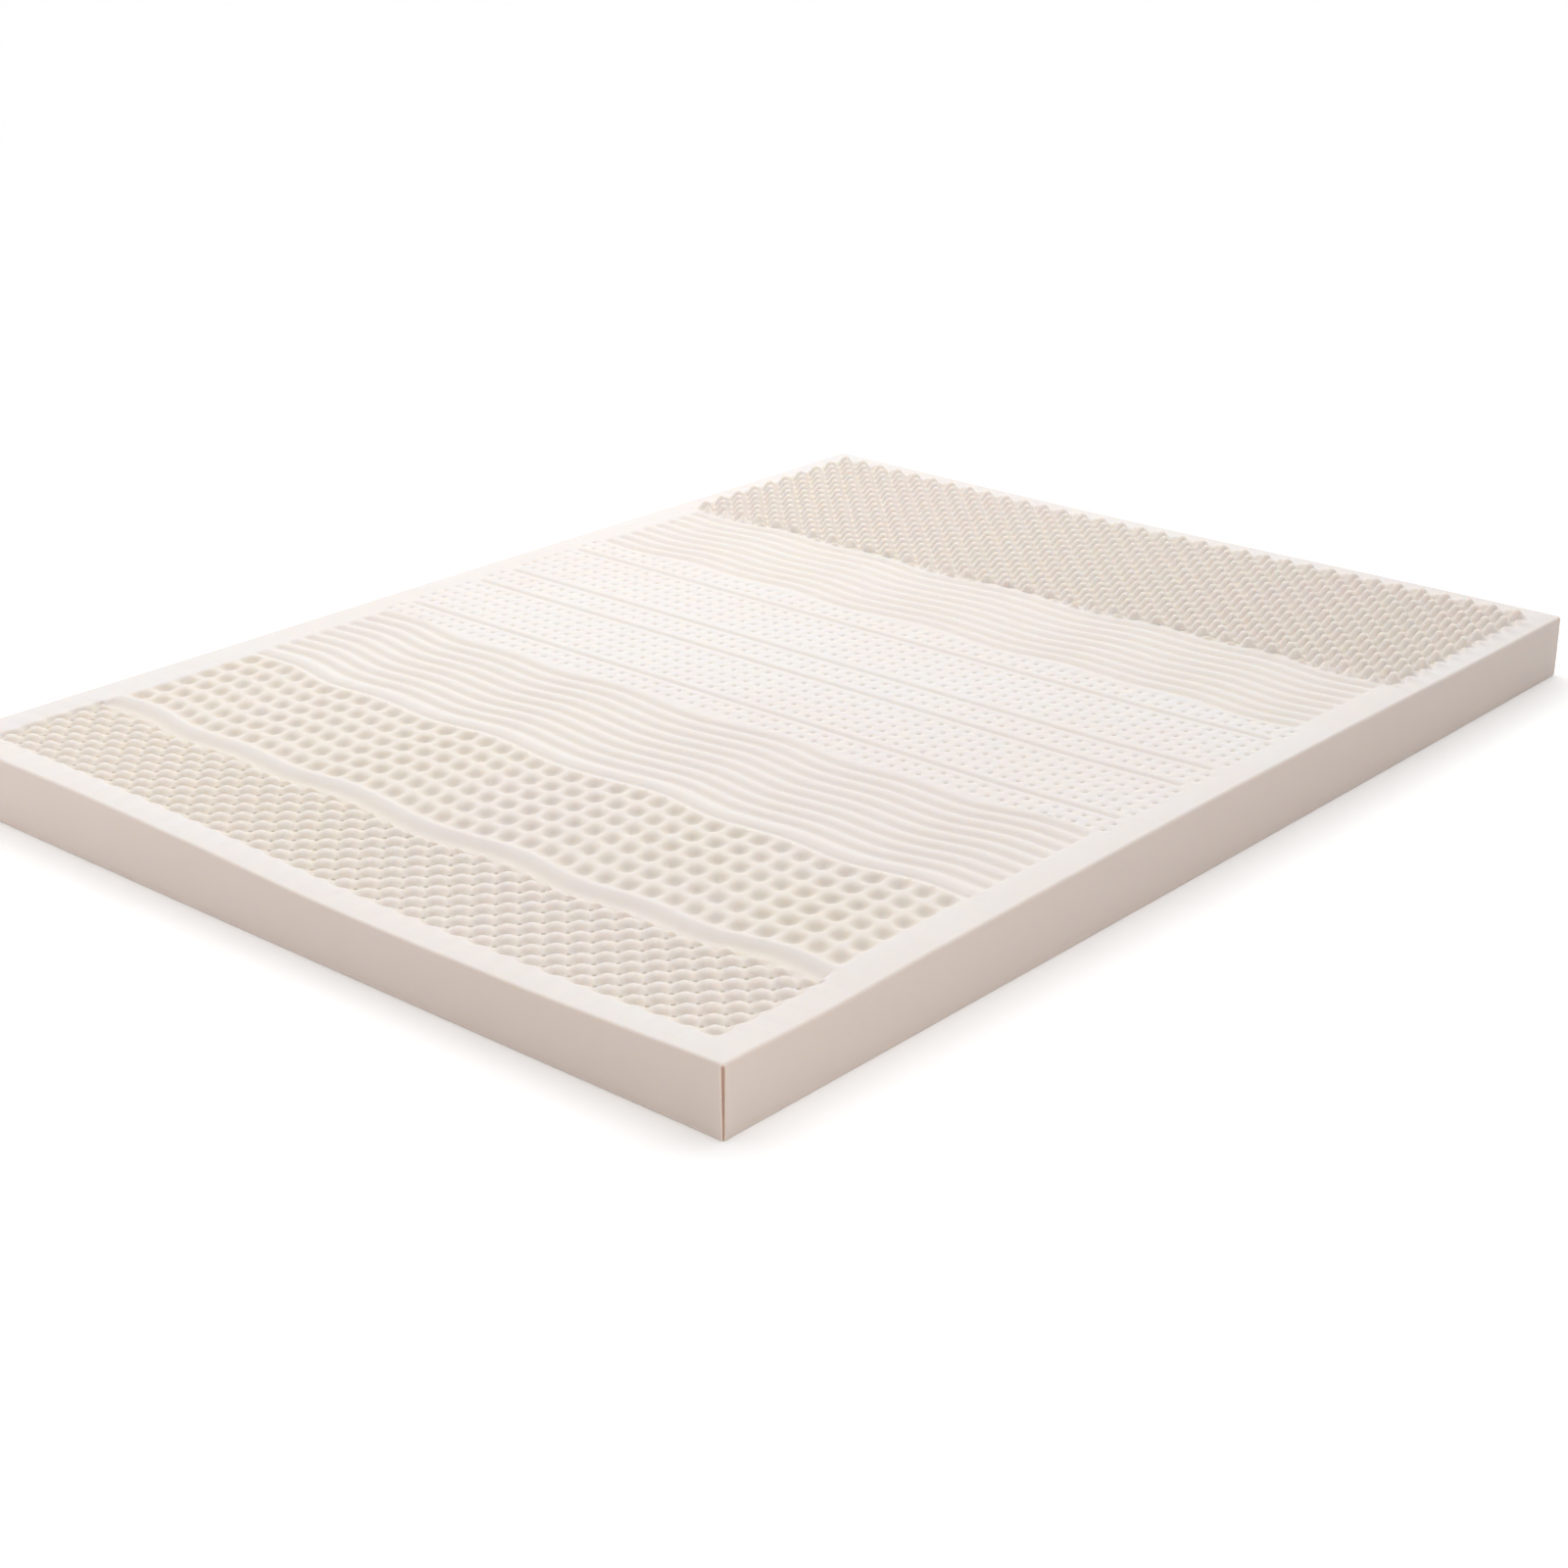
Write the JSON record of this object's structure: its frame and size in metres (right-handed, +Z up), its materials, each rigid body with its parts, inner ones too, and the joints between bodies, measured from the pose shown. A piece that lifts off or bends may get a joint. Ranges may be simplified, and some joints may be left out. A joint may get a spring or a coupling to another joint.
{
  "type": "mattress topper",
  "caption": "Moulded latex foam mattress topper: a flat slab with a smooth rim round zones of raised nubs, round cups, wavy ribs and straight channels.",
  "frame": {"origin": "middle of the flat underside, on the surface the slab rests on", "axes": "+Z up through the slab, +Y from the foot end to the head end, +X across the width"},
  "size_m": [1.5, 2, 0.1145],
  "materials": {
    "latex_foam": "matte cream latex foam with fine open pores, smooth moulded skin on the rim and sides"
  },
  "bodies": {
    "root": {"latex_slab": "latex_foam"}
  },
  "joints": []
}
